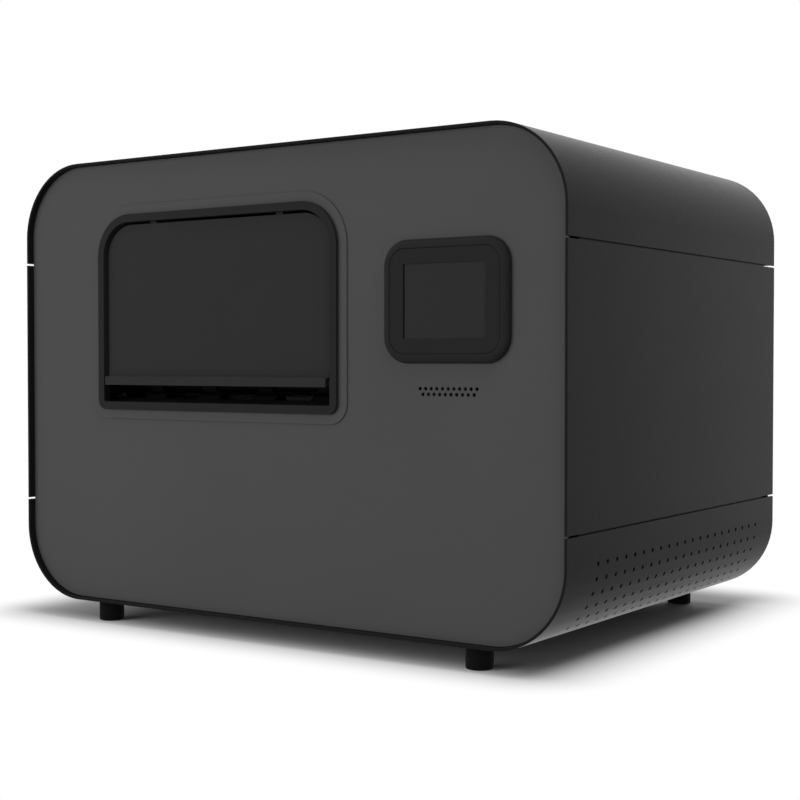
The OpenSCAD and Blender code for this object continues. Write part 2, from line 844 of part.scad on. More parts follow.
// Stepper motors of the carriage and of the paper feed
module motor_body(len) {
    rod_z(motor_a * 0.66, 0, 0, -boss_t, 0);
    difference() {
        translate([0, 0, -boss_t]) mirror([0, 0, 1]) linear_extrude(len) rrect(motor_a, motor_a, 5, 5);
        for (sx = [-1, 1], sy = [-1, 1]) {
            rod_z(5, sx * (motor_a / 2 - 4.6), sy * (motor_a / 2 - 4.6), -8, 0);
        }
    }
}
motor_y = line_y + belt_w / 2 + 12;
boss_t = 1.6;
module stepper_motors() {
    color("#1d1d1f") union() {
        translate([car_pulley_l, motor_y - boss_t, belt_z]) rotate([90, 0, 0]) motor_body(motor_l);
        translate([motor_x - boss_t, feed_y, pinion_z]) rotate([0, -90, 0]) motor_body(motor_l);
    }
}

// Brackets that carry both motors and the idler
module motor_brackets() {
    h = motor_a / 2;
    color("silver") union() {
        difference() {
            union() {
                block([car_pulley_l - h, motor_y - 3, belt_z - h], [bay_l - frame_t, motor_y, belt_z + h]);
                block([bay_l - frame_t - 3, motor_y - 3, belt_z - h],
                    [bay_l - frame_t, line_y + 62, belt_z - h + 16]);
            }
            rod_y(motor_a * 0.66 + 1, car_pulley_l, motor_y - 3 - cut, motor_y + cut, belt_z);
        }
        difference() {
            union() {
                block([motor_x - 3, feed_y - 46, pinion_z - h - 2], [motor_x, feed_y + 46, pinion_z + h - 2]);
                for (sy = [-1, 1], z = [pinion_z - h + 3, pinion_z + 5]) {
                    rod_x(8, outer_x, motor_x - 2, feed_y + sy * 41, z);
                }
            }
            rod_x(motor_a * 0.66 + 1, motor_x - 3 - cut, motor_x + cut, feed_y, pinion_z);
        }
        difference() {
            union() {
                block([outer_x, idler_y0, belt_z - 16], [car_pulley_rx + 14, idler_y0 + 4, belt_z + 16]);
                block([outer_x, idler_y0, belt_z - 30], [outer_x + 3, idler_y0 + 40, belt_z - 14]);
            }
            rod_y(6 + 2 * fit, car_pulley_rx, idler_y0 - cut, idler_y0 + 4 + cut, belt_z);
        }
    }
}

// Pulleys of the carriage belt, each on its shaft along Y
module belt_wheel(r, w) {
    rod_z(2 * r, 0, 0, -w / 2, w / 2);
    for (s = [-1, 1]) {
        translate([0, 0, s * (w / 2 + 0.6)]) cylinder(r = r + belt_t + 1, h = 1.2, center = true);
    }
}
module drive_pulley() {
    color("lightgray") union() {
        translate([car_pulley_l, line_y, belt_z]) rotate([90, 0, 0]) belt_wheel(car_pulley_r - 0.1, belt_w + 1);
        rod_y(6, car_pulley_l, line_y - belt_w / 2 - 1, motor_y - boss_t - seat, belt_z);
    }
}
module idler_pulley() {
    color("lightgray") union() {
        translate([car_pulley_rx, line_y, belt_z]) rotate([90, 0, 0])
            belt_wheel(car_pulley_r - 0.1, belt_w + 1);
        rod_y(6, car_pulley_rx, line_y - belt_w / 2 - 4, idler_y0 + 8, belt_z);
    }
}

// Belt round two wheels whose centres and radii differ
module belt_path(a, ra, b, rb) {
    d = norm(b - a);
    dir = atan2(b[1] - a[1], b[0] - a[0]);
    lean = asin((ra - rb) / d);
    n = 90 - lean;
    translate(a) circle(ra);
    translate(b) circle(rb);
    polygon([
        a + ra * [cos(dir + n), sin(dir + n)], b + rb * [cos(dir + n), sin(dir + n)],
        b + rb * [cos(dir - n), sin(dir - n)], a + ra * [cos(dir - n), sin(dir - n)]
    ]);
}
module belt_loop(a, ra, b, rb) {
    difference() {
        belt_path(a, ra + belt_t, b, rb + belt_t);
        belt_path(a, ra, b, rb);
    }
}
module drive_belts() {
    color("#151515") union() {
        along_y(line_y - belt_w / 2, line_y + belt_w / 2)
            belt_loop([car_pulley_l, belt_z], car_pulley_r, [car_pulley_rx, belt_z], car_pulley_r);
        along_x(pulley_x + 1.5, pulley_x + 1.5 + belt_w)
            belt_loop([exit_y, exit_z], exit_pulley_r, [feed_y, feed_z], feed_pulley_r);
    }
}

// Gear outline with involute flanks
function inv(a) = tan(a) * 180 / PI - a;
function half_angle(n, r) =
    let (rp = gear_m * n / 2, rb = rp * cos(20))
    90 / n * 0.92 + inv(20) - inv(r > rb ? acos(rb / r) : 0);
module gear_outline(n) {
    rp = gear_m * n / 2;
    radii = [rp - 1.2 * gear_m, rp - 0.6 * gear_m, rp, rp + 0.5 * gear_m, rp + 0.95 * gear_m];
    polygon([
        for (k = [0 : n - 1]) each concat(
            [for (r = radii) r * [cos(360 * k / n - half_angle(n, r)), sin(360 * k / n - half_angle(n, r))]],
            [for (i = [len(radii) - 1 : -1 : 0])
                let (r = radii[i])
                r * [cos(360 * k / n + half_angle(n, r)), sin(360 * k / n + half_angle(n, r))]]
        )
    ]);
}

// Feed shaft: square through the tractors, round in its bearings, with a hand knob
module feed_shaft() {
    q = feed_sq / 2;
    color("silver") union() {
        block([bay_l + 6, feed_y - q, feed_z - q], [bay_r - 6, feed_y + q, feed_z + q]);
        rod_x(feed_sq, bay_l - frame_t - 30, bay_l + 6 + cut, feed_y, feed_z);
        rod_x(feed_sq, bay_r - 6 - cut, gear_x + gear_t + 2, feed_y, feed_z);
        rod_x(40, bay_l - frame_t - 30, bay_l - frame_t - 14, feed_y, feed_z);
        rod_x(18, bay_l - frame_t - 15, bay_l - frame_t - 5, feed_y, feed_z);
    }
}
module feed_gear() {
    color("goldenrod") difference() {
        union() {
            along_x(gear_x, gear_x + gear_t) translate([feed_y, feed_z]) rotate(-90) gear_outline(gear_n);
            translate([pulley_x + 6.5, feed_y, feed_z]) rotate([0, 90, 0])
                belt_wheel(feed_pulley_r - 0.1, belt_w + 1);
            rod_x(22, pulley_x + 11, gear_x + cut, feed_y, feed_z);
        }
        rod_x(feed_sq + 0.02, pulley_x - cut, gear_x + gear_t + cut, feed_y, feed_z);
    }
}
module feed_pinion() {
    color("silver") union() {
        along_x(gear_x, gear_x + gear_t) translate([feed_y, pinion_z])
            rotate(90 + 180 / pinion_n) gear_outline(pinion_n);
        rod_x(8, gear_x - 3, motor_x - boss_t - seat, feed_y, pinion_z);
    }
}
module shaft_bearings() {
    color("silver") for (a = [bay_l - frame_t, bay_r + frame_t - bearing_t],
        p = [[feed_y, feed_z], [exit_y, exit_z]]) {
        difference() {
            rod_x(bearing_d, a, a + bearing_t, p[0], p[1]);
            rod_x(feed_sq + 2 * fit, a - cut, a + bearing_t + cut, p[0], p[1]);
        }
    }
}

// Tractor at x, whose outboard side points along s
lid_z = paper_z + 3;
lid_out = tractor_w / 2 + 4;
ear_w = 6;
hub_d = 20;
cheek_t = 3;
pin_top = paper_z + 1.6;
module mirrored(x, s) {
    translate([x, 0, 0]) mirror([s < 0 ? 1 : 0, 0, 0]) children();
}
module tractor_frame(x, s) {
    w = tractor_w / 2;
    r = sprocket_r + belt_t + 1;
    color("#3a3f45") mirrored(x, s) difference() {
        union() {
            for (a = [-w, w - cheek_t]) {
                along_x(a, a + cheek_t) belt_path([feed_y, feed_z], r, [guide_y, feed_z], r);
            }
            rod_x(2 * sprocket_r - 0.1, -w, w, guide_y, feed_z);
            block([-w, feed_y + sprocket_r + 4, feed_z - 9], [w, guide_y, feed_z + 9]);
            for (y = [feed_y + 2, guide_y - 2 - ear_w]) {
                block([w - cut, y, paper_z - 8], [w + 1, y + ear_w, paper_z - 3]);
                block([w, y, paper_z - 8], [lid_out + 3, y + ear_w, lid_z]);
                rod_y(2 * (lid_out - w) - 0.2, lid_out, y, y + ear_w, lid_z);
            }
        }
        rod_x(hub_d + 2 * fit, -w - cut, w + cut, feed_y, feed_z);
        rod_x(guide_d + 2 * fit, -w - cut, w + cut, guide_y, feed_z);
        rod_y(3 + 2 * fit, lid_out, feed_y - cut, guide_y + cut, lid_z);
    }
}
module tractor_belt(x) {
    color("#1a1a1a") union() {
        along_x(x - belt_w / 2, x + belt_w / 2)
            belt_loop([feed_y, feed_z], sprocket_r, [guide_y, feed_z], sprocket_r);
        for (i = [0 : pin_steps]) {
            y = feed_y + i * pin_pitch;
            rod_z(3.6, x, y, feed_z + sprocket_r + belt_t / 2, pin_top);
            rod_z(3.6, x, y, 2 * feed_z - pin_top, feed_z - sprocket_r - belt_t / 2);
        }
    }
}
module tractor_sprocket(x) {
    w = tractor_w / 2;
    q = feed_sq / 2 + 0.1;
    color("ivory") difference() {
        union() {
            rod_x(2 * (sprocket_r - seat), x - w + cheek_t + seat, x + w - cheek_t - seat, feed_y, feed_z);
            rod_x(hub_d, x - w - 1, x + w + 1, feed_y, feed_z);
        }
        block([x - w - 2, feed_y - q, feed_z - q], [x + w + 2, feed_y + q, feed_z + q]);
    }
}
module tractor_lid(x, s) {
    w = tractor_w / 2;
    y0 = feed_y + 2 + ear_w + seat;
    y1 = guide_y - 2 - ear_w - seat;
    color("#3a3f45") mirrored(x, s) union() {
        difference() {
            block([-w, feed_y - 8, paper_z + 0.8], [w - seat, guide_y + 8, lid_z + 1.3]);
            block([-3, feed_y - 4, paper_z], [3, guide_y + 4, lid_z + 2]);
        }
        block([w - 1, y0, paper_z + 0.8], [lid_out, y1, lid_z + 1.3]);
        rod_y(6, lid_out, y0, y1, lid_z);
        rod_y(3, lid_out, feed_y + 2, guide_y - 2, lid_z);
    }
}
module tractor_lever(x, s) {
    w = tractor_w / 2;
    color("crimson") mirrored(x, s) difference() {
        union() {
            rod_x(22, w + seat, w + 6, guide_y, feed_z);
            block([w + seat, guide_y + 6, feed_z - 4.5], [w + 6, guide_y + 34, feed_z + 4.5]);
            rod_x(12, w + seat, w + 6, guide_y + 34, feed_z);
        }
        rod_x(guide_d + 2 * fit, w, w + 7, guide_y, feed_z);
    }
}
tractor_xl = bay_l + 36;
tractor_xr = bay_r - 36;
module tractor_left_frame() {
    tractor_frame(tractor_xl, -1);
}
module tractor_left_belt() {
    tractor_belt(tractor_xl);
}
module tractor_left_sprocket() {
    tractor_sprocket(tractor_xl);
}
module tractor_left_lid() {
    tractor_lid(tractor_xl, -1);
}
module tractor_left_lever() {
    tractor_lever(tractor_xl, -1);
}
module tractor_right_frame() {
    tractor_frame(tractor_xr, 1);
}
module tractor_right_belt() {
    tractor_belt(tractor_xr);
}
module tractor_right_sprocket() {
    tractor_sprocket(tractor_xr);
}
module tractor_right_lid() {
    tractor_lid(tractor_xr, 1);
}
module tractor_right_lever() {
    tractor_lever(tractor_xr, 1);
}

// Exit rollers over and under the paper
module roller_set(d, shaft_d, w, y, z, x0, x1) {
    rod_x(shaft_d, x0, x1, y, z);
    for (i = [-1.5 : 1.5]) {
        x = bay_x + i * bay_w / 4.6;
        rod_x(d, x - w / 2, x + w / 2, y, z);
    }
}
module exit_roller() {
    color("#232323") union() {
        roller_set(2 * roller_r, exit_shaft_d, 34, exit_y, exit_z, bay_l - frame_t + 1, pulley_x + 14);
        translate([pulley_x + 6.5, exit_y, exit_z]) rotate([0, 90, 0])
            belt_wheel(exit_pulley_r - 0.1, belt_w + 1);
    }
}
module pinch_roller() {
    color("#3a3a3a") roller_set(2 * pinch_r, pinch_shaft_d, 20, exit_y,
        pinch_z, bay_l - frame_t, bay_r + frame_t);
}

// Sheet guides that carry the paper between the side frames
module paper_guides() {
    t = 1.5;
    x0 = bay_l + seat;
    x1 = bay_r - seat;
    z = paper_z - 1;
    low = inlet_z0 - 1;
    color("lightgray") union() {
        along_x(x0, x1) polygon([
            [guide_y + 52, z - 4], [rear_in - 4, low], [rear_in - seat, low],
            [rear_in - seat, low - t], [rear_in - 5, low - t], [guide_y + 52, z - 4 - t]
        ]);
        block([x0, line_y + 19, z - t], [x1, feed_y - 24, z]);
        block([x0, exit_y + 14, z - t], [x1, line_y - 19, z]);
        along_x(x0, x1) polygon([
            [panel_back + 3, win_bot], [exit_y - 14, z - 5], [exit_y - 14,
                z - 5 - t], [panel_back + 3, win_bot - t]
        ]);
    }
}

// Cooling fan
module fan_housing() {
    color("#1c1c1e") difference() {
        union() {
            difference() {
                along_y(fan_y0, rear_in) translate([fan_x, fan_z]) rrect(fan_a, fan_a, 5, 5);
                rod_y(fan_bore, fan_x, fan_y0 - cut, rear_in + cut, fan_z);
            }
            rod_y(40, fan_x, fan_y0, fan_y0 + 4, fan_z);
            for (a = [45, 135]) {
                translate([fan_x, fan_y0 + 2, fan_z]) rotate([0, a, 0])
                    cube([fan_bore + 2, 4, 5], center = true);
            }
        }
        rod_y(4 + 2 * fit, fan_x, fan_y0 - cut, fan_y0 + 4 + cut, fan_z);
    }
}
module fan_rotor() {
    y = fan_y0 + 4 + 1;
    h = fan_t - 7;
    color("#2a2a2c") union() {
        rod_y(38, fan_x, y, y + h, fan_z);
        rod_y(4, fan_x, fan_y0, y + cut, fan_z);
        for (i = [0 : 6]) {
            translate([fan_x, y + h / 2, fan_z]) rotate([0, i * 360 / 7, 0])
                translate([18, 0, 0]) rotate([40, 0, 0])
                translate([0, -h / 2 + 1, -1]) cube([fan_bore / 2 - 20, h - 2, 2]);
        }
    }
}

// Power supply and control board on the base plate
module power_supply() {
    z0 = floor_z + base_t;
    color("silver") difference() {
        block([board_x, psu_y, z0], [board_x + 125, psu_y + 190, z0 + 62]);
        for (i = [0 : 11]) {
            y = psu_y + 12 + i * 15;
            block([board_x + 15, y, z0 + 54], [board_x + 110, y + 6, z0 + 62 + cut]);
        }
    }
}
module control_board() {
    z0 = floor_z + base_t;
    z1 = z0 + 10;
    color("darkgreen") union() {
        block([board_x, board_y, z1], [board_x + 135, board_y + 180, z1 + 1.6]);
        for (x = [7, 128], y = [7, 173]) {
            rod_z(7, board_x + x, board_y + y, z0, z1 + cut / 2);
        }
        block([board_x + 25, board_y + 40, z1 + 1], [board_x + 53, board_y + 68, z1 + 4]);
        block([board_x + 70, board_y + 50, z1 + 1], [board_x + 92, board_y + 62, z1 + 5]);
        for (i = [0 : 4]) {
            x = board_x + 15 + i * 22;
            block([x, board_y + 160, z1 + 1], [x + 16, board_y + 172, z1 + 11]);
            rod_z(10, x + 5, board_y + 130, z1 + 1, z1 + 14);
        }
    }
}

// Mains inlet with its switch, and the data sockets with their plate
module power_inlet() {
    z = port_z;
    color("#161616") difference() {
        union() {
            block([inlet_x - 29, plate_out, z - 17], [inlet_x + 29, plate_out + 2.5, z + 17]);
            block([inlet_x - 24.7, plate_out - 32, z - 13.7], [inlet_x + 24.7, plate_out + cut, z + 13.7]);
        }
        block([inlet_x - 22, plate_out - 14, z - 8.5], [inlet_x + 3, plate_out + 3, z + 8.5]);
        block([inlet_x + 8, plate_out - 20, z - 11], [inlet_x + 20.6, plate_out + 3, z + 11]);
        rod_x(3 + 2 * fit, inlet_x + 6, inlet_x + 22.6, rocker_y, z);
    }
    color("silver") for (p = [[-9.5, 3.5], [-16.5, -2], [-2.5, -2]]) {
        block([inlet_x + p[0] - 1, plate_out - 14.5, z + p[1] - 2],
            [inlet_x + p[0] + 1, plate_out - 6, z + p[1] + 2]);
    }
}
module power_rocker() {
    color("#8c1515") union() {
        along_x(inlet_x + 8.3, inlet_x + 20.3) translate([rocker_y, port_z]) rotate(8)
            polygon([[-6, -4], [-6, 4], [1, 9], [6, 9], [4, 0], [6, -9], [1, -9]]);
        rod_x(3, inlet_x + 7, inlet_x + 21.6, rocker_y, port_z);
    }
}
module data_ports() {
    z = port_z;
    color("silver") for (p = [[port_x, 14.6, 13.6, 8.6, 7.8], [port_x + 30, 17.6, 15.6, 11.8, 8.4]]) {
        difference() {
            block([p[0] - p[1] / 2, plate_out - 20, z - p[2] / 2],
                [p[0] + p[1] / 2, plate_out + 0.6, z + p[2] / 2]);
            block([p[0] - p[3] / 2, plate_out - 13, z - p[4] / 2],
                [p[0] + p[3] / 2, plate_out + 1, z + p[4] / 2]);
        }
    }
    color("silver") difference() {
        block([port_x - 16, plate_in, z - 28], [inlet_x + 39, plate_out, z + 28]);
        for (p = [[port_x, 15, 14], [port_x + 30, 18, 16], [inlet_x, 50, 28]]) {
            block([p[0] - p[1] / 2, plate_in - cut, z - p[2] / 2],
                [p[0] + p[1] / 2, plate_out + cut, z + p[2] / 2]);
        }
    }
}

lower_tray();
left_side_panel();
right_side_panel();
top_cover();
cover_rear_panel();
front_panel();
rear_panel();
base_plate();
left_frame();
right_frame();
tie_bars();
rubber_feet();
foot_screws();
window_frame();
front_flap();
flap_ledge();
flap_pins();
pod_housing();
pod_face();
display_glass();
display_board();
speaker();
cover_hinge_base();
cover_hinge_leaf();
acoustic_foam();
guide_rods();
carriage();
carriage_bushes();
embossing_head();
punch_pins();
die_bar();
stepper_motors();
motor_brackets();
drive_pulley();
idler_pulley();
drive_belts();
feed_shaft();
feed_gear();
feed_pinion();
shaft_bearings();
tractor_left_frame();
tractor_left_belt();
tractor_left_sprocket();
tractor_left_lid();
tractor_left_lever();
tractor_right_frame();
tractor_right_belt();
tractor_right_sprocket();
tractor_right_lid();
tractor_right_lever();
exit_roller();
pinch_roller();
paper_guides();
fan_housing();
fan_rotor();
power_supply();
control_board();
power_inlet();
power_rocker();
data_ports();
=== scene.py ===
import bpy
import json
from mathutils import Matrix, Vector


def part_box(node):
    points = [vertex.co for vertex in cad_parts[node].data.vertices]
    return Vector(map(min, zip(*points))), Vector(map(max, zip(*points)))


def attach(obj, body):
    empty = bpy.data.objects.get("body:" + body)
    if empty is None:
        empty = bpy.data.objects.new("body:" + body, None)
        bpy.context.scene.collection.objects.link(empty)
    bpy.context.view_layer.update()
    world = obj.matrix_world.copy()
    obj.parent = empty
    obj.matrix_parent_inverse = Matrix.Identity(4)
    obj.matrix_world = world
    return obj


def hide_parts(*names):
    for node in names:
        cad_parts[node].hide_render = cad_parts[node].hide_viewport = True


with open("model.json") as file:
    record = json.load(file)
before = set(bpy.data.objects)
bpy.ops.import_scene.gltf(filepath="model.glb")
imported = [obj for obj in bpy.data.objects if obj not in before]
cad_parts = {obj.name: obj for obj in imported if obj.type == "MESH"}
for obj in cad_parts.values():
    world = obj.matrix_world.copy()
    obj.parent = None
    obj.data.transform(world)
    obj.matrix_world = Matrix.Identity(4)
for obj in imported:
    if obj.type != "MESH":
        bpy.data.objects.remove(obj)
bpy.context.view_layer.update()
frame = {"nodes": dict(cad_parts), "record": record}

import json
import math

import bmesh
import bpy
from mathutils import Matrix, Vector

MM = 0.001
WHITE = (1.0, 1.0, 1.0, 1.0)
NODES = frame["nodes"]

# ---------------------------------------------------------------- camera
scene = bpy.context.scene
cam_data = bpy.data.cameras.new("camera")
cam_data.lens, cam_data.sensor_width, cam_data.clip_end = 67.27, 36.0, 60.0
camera = bpy.data.objects.new("camera", cam_data)
camera.location = (1.05765, -1.57375, 0.31708)
camera.rotation_euler = (math.radians(88.523), 0.0, math.radians(34.084))
scene.collection.objects.link(camera)
scene.camera = camera
scene.view_settings.view_transform = "Standard"


# ---------------------------------------------------------------- materials
class Tree:
    """Short calls for building the nodes of one material or world."""

    def __init__(self, holder, out="ShaderNodeOutputMaterial"):
        holder.use_nodes = True
        self.nt = holder.node_tree
        self.nt.nodes.clear()
        self.out = self.nt.nodes.new(out)

    def node(self, kind, **values):
        n = self.nt.nodes.new(kind)
        for key, value in values.items():
            setattr(n, key, value)
        return n

    def place(self):
        """Where a point lies on its object."""
        return self.node("ShaderNodeTexCoord").outputs["Object"]

    def link(self, a, b):
        self.nt.links.new(a, b)

    def noise(self, scale, detail=3.0, rough=0.5, stretch=None):
        n = self.node("ShaderNodeTexNoise")
        n.inputs["Scale"].default_value = scale
        n.inputs["Detail"].default_value = detail
        n.inputs["Roughness"].default_value = rough
        source = self.place()
        if stretch:
            m = self.node("ShaderNodeMapping")
            m.inputs["Scale"].default_value = stretch
            self.link(source, m.inputs["Vector"])
            source = m.outputs["Vector"]
        self.link(source, n.inputs["Vector"])
        return n.outputs["Fac"]

    def span(self, value, a, b, c, d, smooth=False):
        """The range a to b of a value made into c to d."""
        n = self.node("ShaderNodeMapRange", interpolation_type="SMOOTHSTEP" if smooth else "LINEAR")
        for i, v in enumerate((a, b, c, d)):
            n.inputs[i + 1].default_value = v
        self.link(value, n.inputs[0])
        return n.outputs[0]

    def maths(self, operation, *values):
        n = self.node("ShaderNodeMath", operation=operation)
        for i, v in enumerate(values):
            if isinstance(v, (int, float)):
                n.inputs[i].default_value = v
            else:
                self.link(v, n.inputs[i])
        return n.outputs[0]

    def mix(self, factor, a, b):
        """Colour a turned into colour b by factor."""
        n = self.node("ShaderNodeMix", data_type="RGBA")
        self.link(factor, n.inputs["Factor"])
        for socket, v in ((n.inputs[6], a), (n.inputs[7], b)):
            if isinstance(v, tuple):
                socket.default_value = (*v, 1.0)
            else:
                self.link(v, socket)
        return n.outputs[2]

    def edges(self, radius, low=0.02, high=0.25):
        """1 along the sharp edges, 0 on the faces between them."""
        bevel = self.node("ShaderNodeBevel", samples=4)
        bevel.inputs["Radius"].default_value = radius
        geometry = self.node("ShaderNodeNewGeometry")
        dot = self.node("ShaderNodeVectorMath", operation="DOT_PRODUCT")
        self.link(bevel.outputs[0], dot.inputs[0])
        self.link(geometry.outputs["Normal"], dot.inputs[1])
        return self.span(self.maths("SUBTRACT", 1.0, dot.outputs["Value"]), low, high, 0.0, 1.0)

    def bump(self, height, distance, edge_radius):
        """A fine skin over edges that look rounded."""
        rounded = self.node("ShaderNodeBevel", samples=4)
        rounded.inputs["Radius"].default_value = edge_radius
        n = self.node("ShaderNodeBump")
        n.inputs["Distance"].default_value = distance
        n.inputs["Strength"].default_value = 1.0
        self.link(height, n.inputs["Height"])
        self.link(rounded.outputs[0], n.inputs["Normal"])
        return n.outputs[0]

    def glow(self, kind, strength):
        """White light of one strength."""
        n = self.node(kind)
        n.inputs[0].default_value = WHITE
        n.inputs[1].default_value = strength
        return n.outputs[0]

    def show(self, factor, a, b):
        """Send shader a to the output, turned into shader b by factor."""
        n = self.node("ShaderNodeMixShader")
        for socket, source in zip(n.inputs, (factor, a, b)):
            self.link(source, socket)
        self.link(n.outputs[0], self.out.inputs[0])


def srgb(*v):
    """An sRGB colour of 0 to 255 as linear light."""
    if len(v) == 1:
        v = v * 3
    shares = [x / 255 for x in v]
    return tuple(x / 12.92 if x <= 0.04045 else ((x + 0.055) / 1.055) ** 2.4 for x in shares)


def scaled(colour, k):
    return tuple(min(1.0, c * k) for c in colour)


DUST = (0.35, 0.34, 0.32)


def finish(name, colour, rough, metal=0.0, specular=0.5, grain=900.0, grain_depth=0.00004, mottle=6.0,
           vary=0.08, wear=0.25, worn=None, edge=0.0007, coat=0.0, stretch=None, rough_vary=0.06,
           round_edges=0.0004, dust=0.0):
    """A coated, moulded or bare metal surface: mottled colour, uneven roughness, a fine skin and worn edges."""
    material = bpy.data.materials.new(name)
    t = Tree(material)
    shader = t.node("ShaderNodeBsdfPrincipled")
    t.link(shader.outputs[0], t.out.inputs[0])
    broad = t.noise(mottle, 4.0, 0.55)
    fine = t.noise(grain, 2.0, 0.6, stretch)
    patch = t.noise(mottle * 7.0, 5.0, 0.6)
    tone = t.mix(t.span(broad, 0.3, 0.7, 0.0, 1.0), scaled(colour, 1 - vary), scaled(colour, 1 + vary))
    tone = t.mix(t.span(fine, 0.35, 0.75, 0.0, 0.5 * vary + 0.02), tone, scaled(colour, 1.6))
    if wear:
        mask = t.maths("MULTIPLY", t.edges(edge), t.span(patch, 0.42, 0.72, 0.0, wear))
        tone = t.mix(mask, tone, worn)
    if dust:
        geometry = t.node("ShaderNodeNewGeometry")
        split = t.node("ShaderNodeSeparateXYZ")
        t.link(geometry.outputs["Normal"], split.inputs[0])
        up = t.span(split.outputs["Z"], 0.3, 1.0, 0.0, dust)
        tone = t.mix(t.maths("MULTIPLY", up, t.span(patch, 0.3, 0.8, 0.4, 1.0)), tone, DUST)
    t.link(tone, shader.inputs["Base Color"])
    level = t.span(patch, 0.3, 0.7, max(0.02, rough - rough_vary), min(1.0, rough + rough_vary))
    t.link(level, shader.inputs["Roughness"])
    shader.inputs["Metallic"].default_value = metal
    shader.inputs["Specular IOR Level"].default_value = specular
    if coat:
        shader.inputs["Coat Weight"].default_value = coat
        shader.inputs["Coat Roughness"].default_value = 0.25
    height = t.maths("ADD", fine, t.maths("MULTIPLY", t.noise(grain * 0.31, 2.0), 0.8))
    t.link(t.bump(height, grain_depth, round_edges), shader.inputs["Normal"])
    return material


MATERIAL = {
    "casing_paint": finish("casing_paint", srgb(28), 0.27, specular=0.037, grain=900, grain_depth=0.000005,
                           vary=0.015, rough_vary=0.012, wear=0.12, worn=srgb(84), edge=0.0005),
    "panel_paint": finish("panel_paint", srgb(78), 0.5, specular=0.045, grain=1700, grain_depth=0.00002,
                          vary=0.02, rough_vary=0.03, wear=0.1, worn=srgb(100), edge=0.0005),
    "plated_steel": finish("plated_steel", srgb(150, 150, 146), 0.38, metal=1.0, grain=420, grain_depth=0.00001,
                           mottle=14, vary=0.12, wear=0.5, worn=srgb(205), rough_vary=0.1),
    "dark_plastic": finish("dark_plastic", srgb(37), 0.46, specular=0.045, grain=1300, grain_depth=0.00003,
                           vary=0.03, wear=0.12, worn=srgb(70)),
    "flap_plastic": finish("flap_plastic", srgb(46), 0.42, specular=0.045, grain=2200, grain_depth=0.000012,
                           vary=0.03, rough_vary=0.03, wear=0.08, worn=srgb(76)),
    "screen_glass": finish("screen_glass", srgb(20), 0.1, specular=0.24, grain=60, grain_depth=0.000002,
                           vary=0.03, wear=0.0, rough_vary=0.02),
    "foot_rubber": finish("foot_rubber", srgb(19), 0.78, specular=0.05, grain=1100, grain_depth=0.00008,
                          vary=0.12, wear=0.3, worn=srgb(40), dust=0.05),
    "belt_rubber": finish("belt_rubber", srgb(22), 0.7, specular=0.2, grain=1600, grain_depth=0.00006,
                          vary=0.12, wear=0.4, worn=srgb(50), edge=0.0004),
    "roller_rubber": finish("roller_rubber", srgb(20), 0.7, specular=0.08, grain=1300, grain_depth=0.00006,
                            vary=0.1, wear=0.2, worn=srgb(44)),
    "foam": finish("foam", srgb(56), 0.95, specular=0.1, grain=520, grain_depth=0.0012, vary=0.25, wear=0.0,
                   mottle=40, round_edges=0.002),
    "bright_steel": finish("bright_steel", srgb(200, 200, 198), 0.24, metal=1.0, grain=900, vary=0.05,
                           grain_depth=0.000001, mottle=20, wear=0.1, worn=srgb(228), stretch=(0.04, 1, 1)),
    "bronze": finish("bronze", srgb(172, 122, 66), 0.4, metal=1.0, grain=700, grain_depth=0.00002, mottle=30,
                     vary=0.14, wear=0.5, worn=srgb(222, 178, 110)),
    "cast_alloy": finish("cast_alloy", srgb(140, 140, 142), 0.48, metal=0.85, grain=640, grain_depth=0.00007,
                         mottle=18, vary=0.12, wear=0.6, worn=srgb(204)),
    "board_green": finish("board_green", srgb(20, 74, 44), 0.36, specular=0.4, grain=900, grain_depth=0.00003,
                          mottle=24, vary=0.16, wear=0.3, worn=srgb(176, 150, 84), coat=0.2),
    "motor_black": finish("motor_black", srgb(30), 0.42, specular=0.3, grain=800, grain_depth=0.00005, vary=0.1,
                          wear=0.45, worn=srgb(110)),
    "black_steel": finish("black_steel", srgb(24), 0.5, specular=0.08, grain=900, grain_depth=0.00002,
                          vary=0.08, wear=0.25, worn=srgb(70)),
    "grey_plastic": finish("grey_plastic", srgb(112, 114, 116), 0.5, specular=0.3, grain=1200,
                           grain_depth=0.00004, vary=0.05, wear=0.2, worn=srgb(150)),
    "white_plastic": finish("white_plastic", srgb(206, 205, 198), 0.45, specular=0.35, grain=1300,
                            grain_depth=0.00003, vary=0.04, wear=0.15, worn=srgb(228)),
    "red_plastic": finish("red_plastic", srgb(176, 26, 24), 0.4, specular=0.35, grain=1300, grain_depth=0.00003,
                          vary=0.06, wear=0.2, worn=srgb(210, 70, 60)),
}

slot_of = {part["node"]: part["material_slot"] for part in frame["record"]["subparts"]}
slot_of.update(left_frame="black_steel", right_frame="black_steel")   # painted shade: the side frames inside take black steel so that the paper slot reads dark, standing in for the shade inside the casing
for name, obj in NODES.items():
    obj.data.materials.clear()
    obj.data.materials.append(MATERIAL[slot_of[name]])


# ---------------------------------------------------------------- edges
def soften(node, width, segments, angle=30):
    """Rounded edges on a CAD node, made by modifiers over its own mesh."""
    obj = NODES[node]
    weld = obj.modifiers.new("weld", "WELD")
    weld.merge_threshold = 0.000002
    planes = obj.modifiers.new("planes", "DECIMATE")
    planes.decimate_type = "DISSOLVE"
    planes.angle_limit = math.radians(0.4)
    round_off = obj.modifiers.new("edges", "BEVEL")
    round_off.width = width
    round_off.segments = segments
    round_off.limit_method = "ANGLE"
    round_off.angle_limit = math.radians(angle)
    round_off.harden_normals = True
    normals = obj.modifiers.new("normals", "WEIGHTED_NORMAL")
    normals.keep_sharp = True


